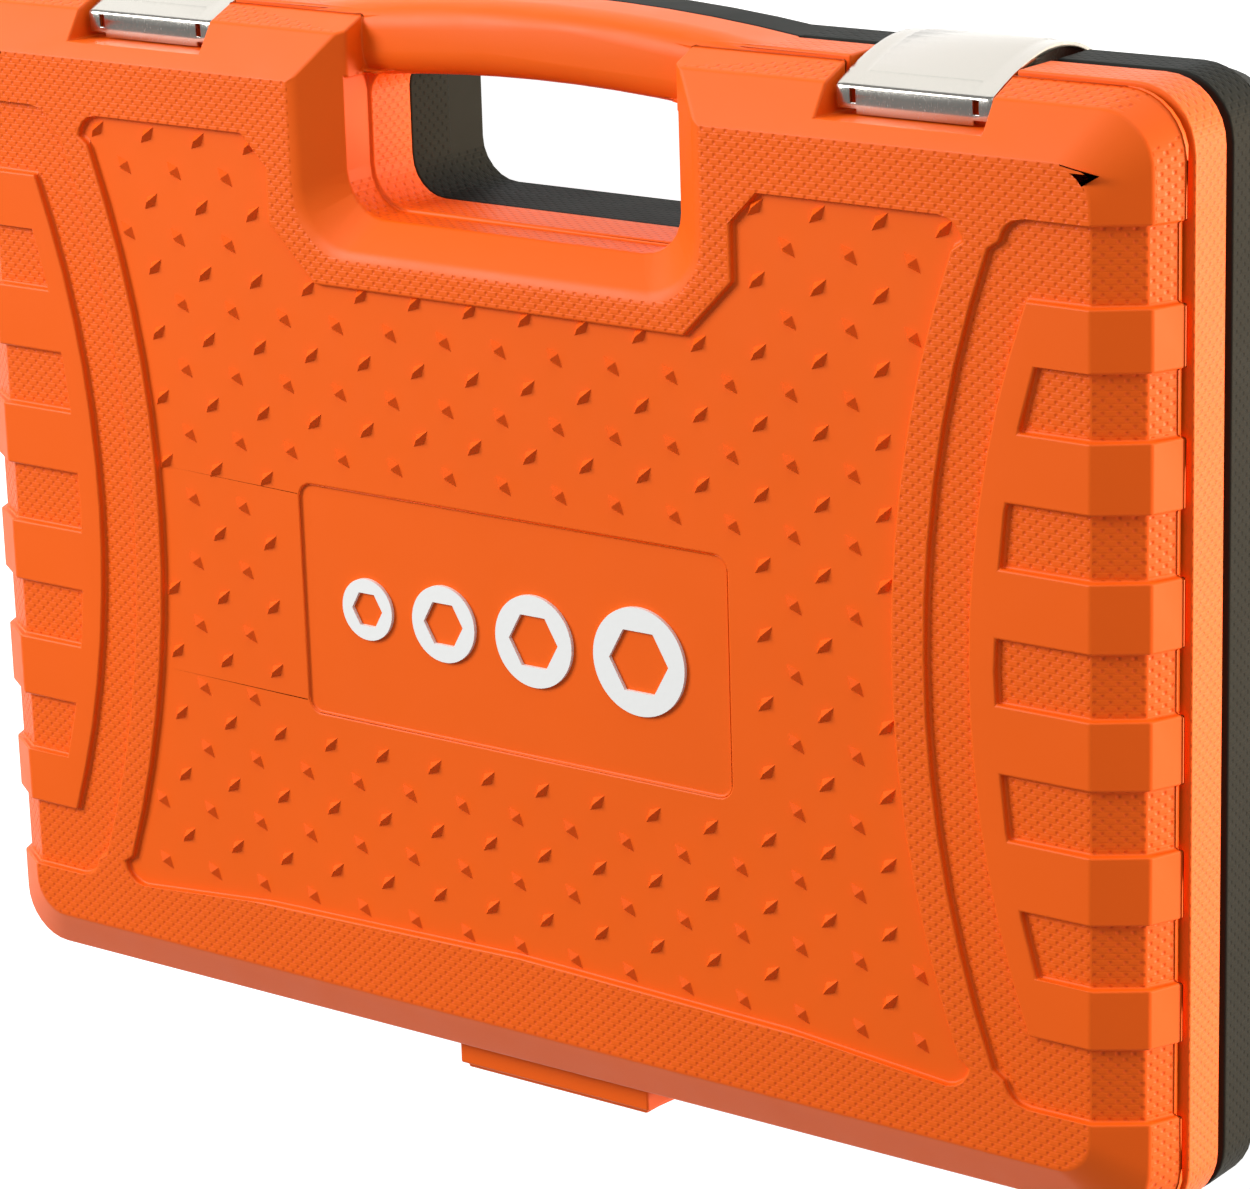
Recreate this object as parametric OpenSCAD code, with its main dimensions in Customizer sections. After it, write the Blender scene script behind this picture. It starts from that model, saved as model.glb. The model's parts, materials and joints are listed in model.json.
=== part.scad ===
// Socket wrench set in a two-part moulded carrying case.
// The case lies on its back: X is its width, +Y points to the hinge edge, -Y to the handle
// and the latches, and Z is its thickness, with the coloured lid on top of the dark base.
// All sizes are in mm. Each NODE is one real piece.

/* [Case] */
// Overall width across the rim flanges
case_w = 387; // [300:1:460]
// Overall height across the rim flanges, handle edge to hinge edge
case_h = 285; // [240:1:340]
// Thickness of the lid from the parting plane to its face
lid_d = 35; // [31:0.5:50]
// Thickness of the base from its back to the parting plane
base_d = 40; // [40:0.5:55]
// Radius of the rim flange's corners
corner_r = 16; // [10:0.5:24]
// Height of the rim flange, measured from the parting plane
flange_h = 16.3; // [12:0.1:18]
// Height of the narrow groove beside the flange
groove_h = 2.2; // [1.5:0.1:3]
// Depth of the moulded recesses in the face and the side walls
relief = 1.8; // [1:0.1:2.4]
// Depth of the chamfer around the face
chamfer_d = 8; // [5:0.5:10]
// Wall between the tool space and the rim flange's outside
rim_wall = 18.5; // [17:0.5:24]
// Thickness of the lid's face wall
face_wall = 6; // [4.5:0.1:8]

/* [Handle] */
// Half width of the finger opening
grip_half = 52.8; // [46:0.2:60]
// Height of the finger opening between its floor and the bar
grip_gap = 36.4; // [30:0.2:44]
// Height of the handle bar
bar_h = 20; // [16:0.5:24]
// How far the middle of the bar stands above the flange
bar_rise = 5; // [2:0.5:8]
// Thickness of each half of the bar
bar_d = 19; // [15:0.5:22]
// Width of the smooth slope around the opening
slope_w = 12; // [8:0.5:14]

/* [Hinge] */
// Radius of the hinge barrels
barrel_r = 4.5; // [3.8:0.1:5]
// Distance of the hinge axis outside the flange
axis_out = 0.5; // [0.3:0.1:1]
// Half width of the lid's hinge block
block_half = 32; // [20:0.5:45]
// Width of each base knuckle
knuckle_w = 17; // [10:0.5:24]
// Radius of the hinge pin
pin_r = 1.5; // [1.2:0.1:2]
// Radial clearance of every running fit
run_fit = 0.05; // [0.02:0.01:0.1]

/* [Latches] */
// Distance of each latch from the middle
latch_x = 122; // [100:1:135]
// Width of the latch plate
latch_w = 44; // [30:1:50]
// Thickness of the latch plate
latch_t = 1.2; // [0.8:0.1:1.6]
// Radius of the latch pin
latch_pin_r = 1.5; // [1.2:0.1:1.8]

/* [Tools] */
// Square drive across the flats
drive = 12.7; // [12.7:0.1:12.7]
// Clearance between a tool and its pocket
pocket_fit = 0.4; // [0.3:0.1:1]
// Height of the pocket floors above the back
pocket_floor = 6; // [5:0.5:8]
// Depth of the deck below the parting plane
deck_drop = 11; // [10:0.5:14]
// Length of the ratchet
ratchet_l = 250; // [230:1:260]
// Length of the long extension bar
long_ext_l = 250; // [230:1:260]
// Length of the short extension bar
short_ext_l = 125; // [110:1:130]
// Length of the sliding T bar
tbar_l = 250; // [220:1:256]

/* [Hidden] */

hw = case_w / 2;
hh = case_h / 2;
// insets of the outline at the face, at the chamfer's foot, on the wall, in the groove, at the rim
face_in = 17;
shoulder_in = 4.9;
wall_in = 1;
groove_in = 7;
rim_in = 4;
rim_h = 1.5;
wall_z = flange_h + groove_h;
// finger opening: floor, bar underside, and the reach of the wall around it
grip_y = -(hh - 15.5 - grip_gap);
bar_y = grip_y - grip_gap;
slope_d = 9.7;
bar_top = hh + bar_rise;
bar_sag = bar_rise;
bar_half = grip_half + 20;
bar_R = (bar_half * bar_half + bar_sag * bar_sag) / (2 * bar_sag);
// hinge axis
axis_y = hh + axis_out;
axis_z = base_d;
block_y = axis_y + barrel_r;
block_up = 21.8;
// latch channel and pin
channel_half = latch_w / 2 + 1.5;
channel_y = -(hh - 13);
latch_pin_y = channel_y - 3.5;
latch_pin_z = 12;
curl_r = latch_pin_r + run_fit + latch_t;
lip_z = base_d + lid_d - 11;
lip_y = -(hh - 5.2);
lip_drop = 6.7;
latch_bow = 17.2;
// deck and tool rows, from the handle side to the hinge side
deck_z = base_d - deck_drop;
cav_x = hw - rim_wall;
cav_y = hh - rim_wall;
guard = 6;
row_a_y = grip_y + 32.6;
row_b_y = row_a_y + 38.5;
row_c_y = row_b_y + 37.5;
row_d_y = row_c_y + 27.5;
row_e_y = row_d_y + 28;
row_f_y = row_e_y + 30;
block_row_y = grip_y - 9.4;
rows_a = [10, 11, 12, 13, 14, 15, 16, 17, 18, 19];
rows_b = [20, 21, 22, 23, 24, 27, 30, 32];
row_gap = 6;
bar_end_r = 12;
bar_shank_r = 6.3;
steel = [0.78, 0.77, 0.75];

// ---------------------------------------------------------------- outlines
function arc(cx, cy, r, a0, a1, n) =
    [for (i = [0:n]) let (a = a0 + (a1 - a0) * i / n) [cx + r * cos(a), cy + r * sin(a)]];

// rounded rectangle with half sizes x and y
function rr(x, y, r, n = 8) = concat(
    arc(x - r, y - r, r, 0, 90, n), arc(-x + r, y - r, r, 90, 180, n),
    arc(-x + r, -y + r, r, 180, 270, n), arc(x - r, -y + r, r, 270, 360, n));

// case outline drawn in by an inset
function inset_outline(i) = rr(hw - i, hh - i, max(4, corner_r - i * 0.35));

// side curve of the face: the half width at height y, for a curve that is narrowest in the middle
function side_x(x0, R, y) = x0 + R - sqrt(R * R - y * y);

// points up the curve from y0 to y1
function side_pts(x0, R, y0, y1, n = 14) =
    [for (i = [0:n]) let (y = y0 + (y1 - y0) * i / n) [side_x(x0, R, y), y]];

face_R = 1.67 * hw / 1.1;
comb_R = 1.5 * hw / 1.1;
panel_x = 0.62 * hw;
recess_x = 0.671 * hw;
comb_x = 0.7355 * hw;
corner_soft = 7;
window_x = comb_x + 7.6;
panel_top = 0.774 * hh;
panel_low = 0.775 * hh;
recess_y = 0.782 * hh;
comb_y = 0.646 * hh;
tooth_p = 0.2395 * hh;
window_h = 0.116 * hh;
label_y = 0.1095 * hh;

// smooth panel of the face: concave sides and a top edge that steps around the grip
module panel2d() {
    t = panel_top; l = panel_low; g = grip_y + 18.4; j = grip_half + 22;
    cx = side_x(panel_x, face_R, t) - corner_soft;
    right = concat(arc(cx, -t + corner_soft, corner_soft, -90, -8, 4),
        side_pts(panel_x, face_R, -t + 8, l - 8),
        arc(cx, l - corner_soft, corner_soft, 8, 90, 4));
    left = [for (i = [len(right) - 1:-1:0]) [-right[i][0], right[i][1]]];
    polygon(concat([[j + 8, -t]], right,
        [[0.45 * hw, l - 4], [0, l - 6.2], [-0.45 * hw, l - 4]], left,
        [[-j - 8, -t], [-j, -t + 8], [-j, g - 15],
         [-j + 15, g], [j - 15, g], [j, g - 15], [j, -t + 8]]));
}

// side recess without the raised comb: s is the side, 1 or -1
module side2d(s) {
    cx = side_x(recess_x, face_R, recess_y) + corner_soft;
    scale([s, 1]) difference() {
        polygon(concat([[hw + 5, -recess_y]],
            arc(cx, -recess_y + corner_soft, corner_soft, -90, -172, 4),
            side_pts(recess_x, face_R, -recess_y + 8, recess_y - 8),
            arc(cx, recess_y - corner_soft, corner_soft, 172, 90, 4),
            [[hw + 5, recess_y]]));
        difference() {
            polygon(concat([[hw + 6, -comb_y]], side_pts(comb_x, comb_R, -comb_y, comb_y),
                [[hw + 6, comb_y]]));
            for (k = [-2:2]) intersection() {
                translate([0, k * tooth_p - window_h / 2]) square([hw + 7, window_h]);
                polygon(concat([[hw + 7, -hh]], side_pts(window_x, comb_R, -hh, hh),
                    [[hw + 7, hh]]));
            }
        }
    }
}

// ---------------------------------------------------------------- shells
module slab(i, z) { translate([0, 0, z]) linear_extrude(0.01) polygon(inset_outline(i)); }

// tapered upper body of a half, drawn in by e: wall, shoulder and chamfer
module crown(d, e) {
    hull() {
        slab(wall_in + e, wall_z - 0.5);
        slab(shoulder_in + e, d - chamfer_d - e * 0.4);
        slab(face_in + e * 0.4, d - e - 0.01);
    }
}

// outside of one half, from the parting plane at z 0 to its face at z d
module half_outside(d, comb) {
    difference() {
        union() {
            linear_extrude(rim_h + 0.5) polygon(inset_outline(rim_in));
            translate([0, 0, rim_h]) linear_extrude(flange_h - rim_h) polygon(inset_outline(0));
            translate([0, 0, flange_h - 0.5]) linear_extrude(groove_h + 1)
                polygon(inset_outline(groove_in));
            crown(d, relief);
            difference() {
                crown(d, 0);
                translate([0, 0, wall_z - 1]) linear_extrude(d) {
                    panel2d();
                    if (comb) { side2d(1); side2d(-1); }
                }
            }
        }
        // finger opening, its clearance above the bar, and the slope around it
        translate([0, 0, -1]) linear_extrude(d + 2) polygon(concat(
            arc(grip_half - 11, grip_y - 11, 11, 0, 90, 6),
            arc(-grip_half + 11, grip_y - 11, 11, 90, 180, 6),
            arc(-grip_half + 7, bar_y + 7, 7, 180, 270, 5),
            arc(grip_half - 7, bar_y + 7, 7, 270, 360, 5)));
        // the wall steps back above the rim flange, as the groove does on the outside
        intersection() {
            translate([0, 0, flange_h]) linear_extrude(d) polygon(concat(
                arc(grip_half - 11, grip_y - 11, 12, 0, 90, 6),
                arc(-grip_half + 11, grip_y - 11, 12, 90, 180, 6),
                [[-grip_half - 1, -hh - 20], [grip_half + 1, -hh - 20]]));
            translate([-hw, bar_y + 1, flange_h]) cube([2 * hw, hh, d]);
        }
        translate([0, 0, bar_d]) linear_extrude(d) polygon(concat(
            arc(grip_half - 11, grip_y - 11, 11, 0, 90, 6),
            arc(-grip_half + 11, grip_y - 11, 11, 90, 180, 6),
            [[-grip_half, -hh - 20], [grip_half, -hh - 20]]));
        translate([-grip_half, -hh - 20, -1]) cube([2 * grip_half, hh + 20 + bar_y, d + 2]);
        hull() {
            translate([0, 0, d - slope_d]) grip_slab(0, 11, 0.01);
            translate([0, 0, d]) grip_slab(slope_w, 16, 0.5);
        }
        // channels for the latches
        for (s = [-1, 1]) translate([s * latch_x - channel_half, -hh - 20, -1])
            cube([2 * channel_half, channel_y + hh + 20, d + 2]);
    }
    handle_half();
}

module grip_slab(grow, r, h) {
    linear_extrude(h) polygon(concat(
        arc(grip_half + grow - r, grip_y + grow * 0.83 - r, r, 0, 90, 6),
        arc(-grip_half - grow + r, grip_y + grow * 0.83 - r, r, 90, 180, 6),
        [[-grip_half - grow, -hh - 20], [grip_half + grow, -hh - 20]]));
}

// half of the arched handle bar, rounded along its outer edges
module handle_half() {
    a = 2 * asin(bar_half / bar_R);
    r = 7.5;
    translate([0, bar_R - bar_top, 0]) rotate([0, 0, -90 - a / 2])
        rotate_extrude(angle = a, $fn = 360) polygon(concat([[bar_R, 0]],
            arc(bar_R - r, bar_d - r, r, 0, 90, 6),
            arc(bar_R - bar_h + r, bar_d - r, r, 90, 180, 6), [[bar_R - bar_h, 0]]));
}

// tool space seen from above: the rim's inside less the wall around the grip
module inside2d(extra = 0) {
    difference() {
        polygon(rr(cav_x - extra, cav_y - extra, 8));
        translate([-grip_half - slope_w - guard, -hh])
            square([2 * (grip_half + slope_w + guard), hh + grip_y + slope_w * 0.83 + guard]);
    }
}

// knuckles of the base reach past the parting plane, so the lid is cut back for them
module lid_shell() {
    color([0.93, 0.33, 0.08]) translate([0, 0, base_d]) difference() {
        union() {
            half_outside(lid_d, true);
            translate([-block_half, axis_y - 7, 0])
                cube([2 * block_half, 7 + barrel_r - 1.5, block_up]);
            translate([-block_half + 1.5, axis_y - 7, 0])
                cube([2 * block_half - 3, 7 + barrel_r, block_up - 1.5]);
            translate([-block_half, axis_y, 0]) rotate([0, 90, 0])
                cylinder(r = barrel_r, h = 2 * block_half, $fn = 48);
            // catches that the latch lips close over
            for (s = [-1, 1]) translate([s * latch_x - channel_half + 4, channel_y - 6, 15])
                cube([2 * channel_half - 8, 7, 6.5]);
        }
        translate([0, 0, -1]) linear_extrude(lid_d - face_wall + 1) inside2d();
        // label field sunk into the panel
        translate([0, label_y, lid_d - relief - 0.8]) linear_extrude(3)
            polygon(rr(0.3625 * hw, 0.225 * hh, 4));
        // room for the base knuckles, closed and folded right back
        for (s = [-1, 1]) translate([s * (block_half + 0.3 + knuckle_w / 2 + 0.25) -
                knuckle_w / 2 - 0.55, axis_y - barrel_r - 0.6, -1])
            cube([knuckle_w + 1.1, 20, 12]);
        translate([-block_half - 1, axis_y, 0]) rotate([0, 90, 0])
            cylinder(r = pin_r + run_fit, h = 2 * block_half + 2, $fn = 48);
    }
}

module base_shell() {
    kx = block_half + 0.55;
    color([0.2, 0.21, 0.2]) difference() {
        union() {
            difference() {
                translate([0, 0, base_d]) mirror([0, 0, 1]) half_outside(base_d, true);
                // the lid's hinge block folds into this gap
                translate([-block_half - 0.6, axis_y - barrel_r - 0.6, base_d - block_up - 1])
                    cube([2 * block_half + 1.2, 20, block_up + 5]);
            }
            for (s = [-1, 1]) {
                translate([s * (kx + knuckle_w / 2) - knuckle_w / 2, axis_y - 7, base_d - 10])
                    cube([knuckle_w, 7 + barrel_r, 10]);
                translate([s * (kx + knuckle_w / 2) - knuckle_w / 2, axis_y, axis_z])
                    rotate([0, 90, 0]) cylinder(r = barrel_r, h = knuckle_w, $fn = 48);
            }
        }
        translate([0, 0, deck_z]) linear_extrude(10) inside2d();
        translate([-block_half - 30, axis_y, axis_z]) rotate([0, 90, 0])
            cylinder(r = pin_r, h = 2 * block_half + 60, $fn = 48);
        // latch pins run into the channel walls
        for (s = [-1, 1]) translate([s * latch_x - channel_half - 5, latch_pin_y, latch_pin_z])
            rotate([0, 90, 0]) cylinder(r = latch_pin_r, h = 2 * channel_half + 10, $fn = 36);
        pockets();
    }
}

// every pocket in the base, each sized from the tool that sits in it
module pockets() {
    for (i = [0:len(rows_a) - 1]) socket_pocket(rows_a, i, row_a_y);
    for (i = [0:len(rows_b) - 1]) socket_pocket(rows_b, i, row_b_y);
    trench(plug21_x, plug21_y, plug_l + 2 * pocket_fit, plug21_r, lie_z(plug21_r));
    trench(plug16_x, plug16_y, plug_l + 2 * pocket_fit, plug16_r, lie_z(plug16_r));
    trench(short_x, row_c_y, short_ext_l + 2, bar_end_r, lie_z(bar_end_r));
    trench(0, row_d_y, long_ext_l + 2, bar_end_r, lie_z(bar_end_r));
    // T bar: saddles at both ends, a deep trench for the slider between them
    trench(tbar_x, row_e_y, tbar_l + 2, tbar_r, tbar_z);
    translate([tbar_x - tbar_l / 2 + 9, row_e_y - slider_r - 1, tbar_z - slider_r - 17])
        cube([tbar_l - 18, 2 * slider_r + 2, 60]);
    // ratchet: head pocket, well for the drive, room for the handle
    hull() {
        translate([head_x, row_f_y, head_z])
            cylinder(r = head_r + pocket_fit, h = 40, $fn = 64);
        translate([head_x + 26, row_f_y, head_z]) cylinder(r = 10 + pocket_fit, h = 40, $fn = 48);
    }
    translate([head_x, row_f_y, head_z - 1.4]) cylinder(r = 17, h = 4, $fn = 64);
    translate([head_x, row_f_y, head_z - 18]) cylinder(r = 12, h = 30, $fn = 48);
    translate([head_x, row_f_y - 13, head_z]) cube([40, 26, 40]);
    translate([head_x + 30, row_f_y - 9, head_z + 3])
        cube([grip_x0 - head_x - 30, 18, 40]);
    trench(grip_x0 + grip_l / 2 + 2, row_f_y, grip_l + 8, grip_r, grip_z);
    // universal joint: snug for the socket yoke, a fan for the drive yoke
    trench(uj_x + 17, block_row_y, 34.6, bar_end_r, uj_z);
    translate([0, 0, uj_z - bar_end_r - 3]) linear_extrude(60) polygon([
        [uj_x + 1, block_row_y - 17], [uj_x + 1, block_row_y + 17],
        [uj_x - 42, block_row_y + 28], [uj_x - 42, block_row_y - 24]]);
}

module socket_pocket(list, i, y) {
    translate([row_x(list, i), y, pocket_floor])
        cylinder(r = socket_r(list[i]) + pocket_fit, h = base_d, $fn = 48);
}

// open-topped trench along X with a round bottom: a tool of radius r rests on it, axis at z
module trench(x, y, l, r, z) {
    w = r + pocket_fit;
    translate([x - l / 2, y, z + pocket_fit]) rotate([0, 90, 0])
        cylinder(r = w, h = l, $fn = 48);
    translate([x - l / 2, y - w, z + pocket_fit]) cube([l, 2 * w, 60]);
}

module hinge_pin() {
    l = 2 * (block_half + 0.55 + knuckle_w) - 2;
    color(steel) translate([-l / 2, axis_y, axis_z]) rotate([0, 90, 0])
        cylinder(r = pin_r, h = l, $fn = 48);
}

module latch_pins() {
    color(steel) for (s = [-1, 1])
        translate([s * latch_x - channel_half - 5, latch_pin_y, latch_pin_z]) rotate([0, 90, 0])
            cylinder(r = latch_pin_r, h = 2 * channel_half + 10, $fn = 36);
}

// latch: a stamped plate curled around its pin, bowed over both halves, with a folded lip
function bow(a, b, c, n, off) = [for (i = [0:n]) let (t = i / n,
    y = (1 - t) * (1 - t) * a[0] + 2 * t * (1 - t) * b[0] + t * t * c[0],
    z = (1 - t) * (1 - t) * a[1] + 2 * t * (1 - t) * b[1] + t * t * c[1],
    dy = 2 * (1 - t) * (b[0] - a[0]) + 2 * t * (c[0] - b[0]),
    dz = 2 * (1 - t) * (b[1] - a[1]) + 2 * t * (c[1] - b[1]),
    m = sqrt(dy * dy + dz * dz)) [y + off * dz / m, z - off * dy / m]];

module latch(x) {
    p0 = [latch_pin_y - curl_r + 0.1, latch_pin_z];
    p1 = [lip_y - latch_bow, latch_pin_z + 18];
    p2 = [lip_y, lip_z];
    outer = bow(p0, p1, p2, 12, 0);
    inner = bow(p0, p1, p2, 12, latch_t);
    color(steel) translate([x - latch_w / 2, 0, 0]) {
        difference() {
            union() {
                // Y and Z of the section, swept along X
                rotate([90, 0, 90]) linear_extrude(latch_w) polygon(concat(outer,
                    [[lip_y + lip_drop, lip_z + 0.4], [lip_y + lip_drop, lip_z - latch_t]],
                    [[lip_y + 1.4, lip_z - latch_t - 0.3]],
                    [for (i = [11:-1:0]) inner[i]]));
                translate([0, latch_pin_y, latch_pin_z]) rotate([0, 90, 0])
                    cylinder(r = curl_r, h = latch_w, $fn = 36);
            }
            translate([-1, latch_pin_y, latch_pin_z]) rotate([0, 90, 0])
                cylinder(r = latch_pin_r + run_fit, h = latch_w + 2, $fn = 36);
            // notches that leave the two ears of the lip
            for (u = [5, latch_w - 5]) translate([u - 0.8, lip_y + 2.6, lip_z - 4])
                cube([1.6, lip_drop, 8]);
        }
    }
}

module latch_left() { latch(latch_x); }
module latch_right() { latch(-latch_x); }

// raised pictogram on the label field: four sockets of growing size, seen end on
emblem = [[48, 8.5, 5.2], [22, 10.5, 6.6], [-8, 12.5, 8], [-42, 14.5, 9.4]];
module lid_emblem() {
    color([0.95, 0.95, 0.95])
        for (e = emblem) translate([e[0], label_y, base_d + lid_d - relief - 0.8]) difference() {
            cylinder(r = e[1], h = 1, $fn = 64);
            translate([0, 0, -1]) cylinder(r = e[2], h = 3, $fn = 6);
        }
}

// ---------------------------------------------------------------- sockets
function hex_r(n) = (1.27 * n + 2.6) / 2;
function drive_r(n) = max(11, 0.62 * hex_r(n) + 4.75);
function socket_r(n) = max(hex_r(n), drive_r(n));
function socket_l(n) = 38 + max(0, n - 24) * 0.75;
function sum(list, k) = k < 0 ? 0 : 2 * socket_r(list[k]) + row_gap + sum(list, k - 1);
function row_x(list, i) = -sum(list, len(list) - 1) / 2 + sum(list, i - 1)
    + socket_r(list[i]) + row_gap / 2;
// a lying tool stands a little over half out of the deck, clear of its drive square
function lie_z(r) = max(r + pocket_floor + pocket_fit + 0.6, deck_z + drive / 2 + 0.15);

// six-point socket of size n standing on its drive end
module socket(n, x, y) {
    l = socket_l(n); dr = drive_r(n); hr = hex_r(n); k = l * 0.42;
    deep = min(l - 16, max(9, n * 0.62));
    color(steel) translate([x, y, pocket_floor]) difference() {
        rotate_extrude($fn = 64) polygon([[0, 0], [dr - 0.8, 0], [dr, 0.8], [dr, k],
            [hr, k + abs(dr - hr) + 0.5], [hr, l - 1], [hr - 1, l], [0, l]]);
        translate([0, 0, l - deep]) cylinder(r = (n + 0.2) / sqrt(3), h = deep + 1, $fn = 6);
        translate([-drive / 2 - 0.1, -drive / 2 - 0.1, -1]) cube([drive + 0.2, drive + 0.2, 15]);
        translate([0, 0, 5]) cylinder(r = min(n * 0.4, 7), h = l, $fn = 40);
    }
}
module row_socket(i) {
    if (i < len(rows_a)) socket(rows_a[i], row_x(rows_a, i), row_a_y);
    else socket(rows_b[i - len(rows_a)], row_x(rows_b, i - len(rows_a)), row_b_y);
}
module socket_10mm() { row_socket(0); }
module socket_11mm() { row_socket(1); }
module socket_12mm() { row_socket(2); }
module socket_13mm() { row_socket(3); }
module socket_14mm() { row_socket(4); }
module socket_15mm() { row_socket(5); }
module socket_16mm() { row_socket(6); }
module socket_17mm() { row_socket(7); }
module socket_18mm() { row_socket(8); }
module socket_19mm() { row_socket(9); }
module socket_20mm() { row_socket(10); }
module socket_21mm() { row_socket(11); }
module socket_22mm() { row_socket(12); }
module socket_23mm() { row_socket(13); }
module socket_24mm() { row_socket(14); }
module socket_27mm() { row_socket(15); }
module socket_30mm() { row_socket(16); }
module socket_32mm() { row_socket(17); }

// spark plug sockets lie along X and hold a rubber insert
plug_l = 65;
plug21_r = 14;
plug16_r = 11;
plug21_x = grip_half + 73;
plug21_y = block_row_y;
plug16_x = 22;
plug16_y = row_c_y;
module plug_socket(n, r, x, y) {
    color(steel) translate([x - plug_l / 2, y, lie_z(r)]) rotate([0, 90, 0]) difference() {
        rotate_extrude($fn = 64) polygon([[0, 0], [r - 1, 0], [r, 1], [r, plug_l - 1.2],
            [r - 1.2, plug_l], [0, plug_l]]);
        translate([0, 0, plug_l - 16]) cylinder(r = (n + 0.2) / sqrt(3), h = 17, $fn = 6);
        translate([-drive / 2 - 0.1, -drive / 2 - 0.1, -1]) cube([drive + 0.2, drive + 0.2, 15]);
        translate([0, 0, 10]) cylinder(r = n * 0.42, h = plug_l, $fn = 40);
    }
}
module plug_insert(n, r, x, y) {
    color([0.08, 0.08, 0.08]) translate([x - plug_l / 2 + 22, y, lie_z(r)]) rotate([0, 90, 0])
        difference() {
            cylinder(r = n * 0.42, h = 18, $fn = 40);
            translate([0, 0, -1]) cylinder(r = n * 0.27, h = 20, $fn = 40);
        }
}
module plug_socket_16mm() { plug_socket(16, plug16_r, plug16_x, plug16_y); }
module plug_insert_16mm() { plug_insert(16, plug16_r, plug16_x, plug16_y); }
module plug_socket_21mm() { plug_socket(21, plug21_r, plug21_x, plug21_y); }
module plug_insert_21mm() { plug_insert(21, plug21_r, plug21_x, plug21_y); }

// ---------------------------------------------------------------- extension bars
short_x = -cav_x + 6 + short_ext_l / 2;
module extension(l, x, y) {
    z = lie_z(bar_end_r);
    color(steel) translate([x - l / 2, y, z]) rotate([0, 90, 0]) difference() {
        union() {
            rotate_extrude($fn = 64) polygon([[0, 0], [bar_end_r - 1, 0], [bar_end_r, 1],
                [bar_end_r, 24], [bar_shank_r, 32], [bar_shank_r, l - 30], [8.8, l - 26],
                [8.8, l - 16], [0, l - 16]]);
            translate([-drive / 2, -drive / 2, l - 17]) cube([drive, drive, 17]);
        }
        translate([-drive / 2 - 0.1, -drive / 2 - 0.1, -1]) cube([drive + 0.2, drive + 0.2, 17]);
        // seat of the spring ball
        translate([-drive / 2 - 1, 0, l - 8]) rotate([0, 90, 0])
            cylinder(r = 2, h = 5, $fn = 32);
    }
}
module ext_ball(l, x, y) {
    translate([x - l / 2 + l - 8, y, lie_z(bar_end_r) + drive / 2 - 1.3]) sphere(r = 1.95, $fn = 32);
}
module long_extension() { extension(long_ext_l, 0, row_d_y); }
module short_extension() { extension(short_ext_l, short_x, row_c_y); }
module extension_balls() {
    color(steel) { ext_ball(long_ext_l, 0, row_d_y); ext_ball(short_ext_l, short_x, row_c_y); }
}

// ---------------------------------------------------------------- sliding T bar
tbar_r = 6.4;
slider_r = 12;
tbar_x = 12;
tbar_z = slider_r + 18 + 3;
stop_w = 4;
module tbar_rod() {
    color(steel) translate([tbar_x - tbar_l / 2, row_e_y, tbar_z]) rotate([0, 90, 0])
        cylinder(r = tbar_r, h = tbar_l, $fn = 48);
}
// snap rings that keep the slider on the rod
module tbar_stops() {
    color(steel) for (s = [-1, 1]) translate([tbar_x + s * (tbar_l / 2 - 12) - 1, row_e_y, tbar_z])
        rotate([0, 90, 0]) difference() {
            cylinder(r = tbar_r + 1.3, h = 2, $fn = 48);
            translate([0, 0, -1]) cylinder(r = tbar_r, h = 4, $fn = 48);
        }
}
module tbar_slider() {
    color(steel) translate([tbar_x, row_e_y, tbar_z]) difference() {
        union() {
            translate([0, 0, -slider_r - 1]) cylinder(r = slider_r, h = 2 * slider_r + 1, $fn = 64);
            translate([-drive / 2, -drive / 2, -slider_r - 16]) cube([drive, drive, 17]);
        }
        translate([-slider_r - 1, 0, 0]) rotate([0, 90, 0])
            cylinder(r = tbar_r + run_fit, h = 2 * slider_r + 2, $fn = 48);
        translate([drive / 2 - 4, 0, -slider_r - 9]) rotate([0, 90, 0])
            cylinder(r = 2, h = 5, $fn = 32);
    }
}
module tbar_ball() {
    color(steel) translate([tbar_x + drive / 2 - 1.3, row_e_y, tbar_z - slider_r - 9])
        sphere(r = 1.95, $fn = 32);
}

// ---------------------------------------------------------------- ratchet
head_x = -ratchet_l / 2 - 20;
head_r = 19;
head_h = 24;
head_z = 22;
gear_r = 13;
grip_l = 118;
grip_r = 14.2;
grip_x0 = head_x + ratchet_l - head_r - grip_l - 4;
grip_z = head_z + head_h / 2;
shank_r = 8;
pivot_x = head_x + 22.5;
module ratchet_body() {
    color(steel) difference() {
        union() {
            hull() {
                translate([head_x, row_f_y, head_z]) cylinder(r = head_r, h = head_h, $fn = 64);
                translate([head_x + 26, row_f_y, head_z]) cylinder(r = 10, h = head_h, $fn = 48);
            }
            translate([head_x + 22, row_f_y, grip_z]) rotate([0, 90, 0])
                cylinder(r = shank_r, h = grip_x0 + grip_l - head_x - 22, $fn = 48);
        }
        // bore for the gear, open towards the drive, and the seat of the cover
        translate([head_x, row_f_y, head_z - 1])
            cylinder(r = gear_r + run_fit, h = 18, $fn = 64);
        translate([head_x, row_f_y, head_z - 1]) cylinder(r = 16.5, h = 3, $fn = 64);
        translate([head_x, row_f_y, head_z]) cylinder(r = 5 + run_fit, h = head_h + 1, $fn = 48);
        // pawl room and the bore of the selector's spindle
        translate([pivot_x, row_f_y, head_z + 3]) cylinder(r = 7.6, h = 13, $fn = 48);
        translate([head_x + 10, row_f_y - 6.5, head_z + 3]) cube([12, 13, 13]);
        translate([pivot_x, row_f_y, head_z + 3])
            cylinder(r = 3 + run_fit, h = head_h, $fn = 40);
        for (s = [-1, 1]) translate([head_x, row_f_y + s * 14.9, head_z - 1])
            cylinder(r = 1.2, h = 10, $fn = 24);
    }
}
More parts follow.
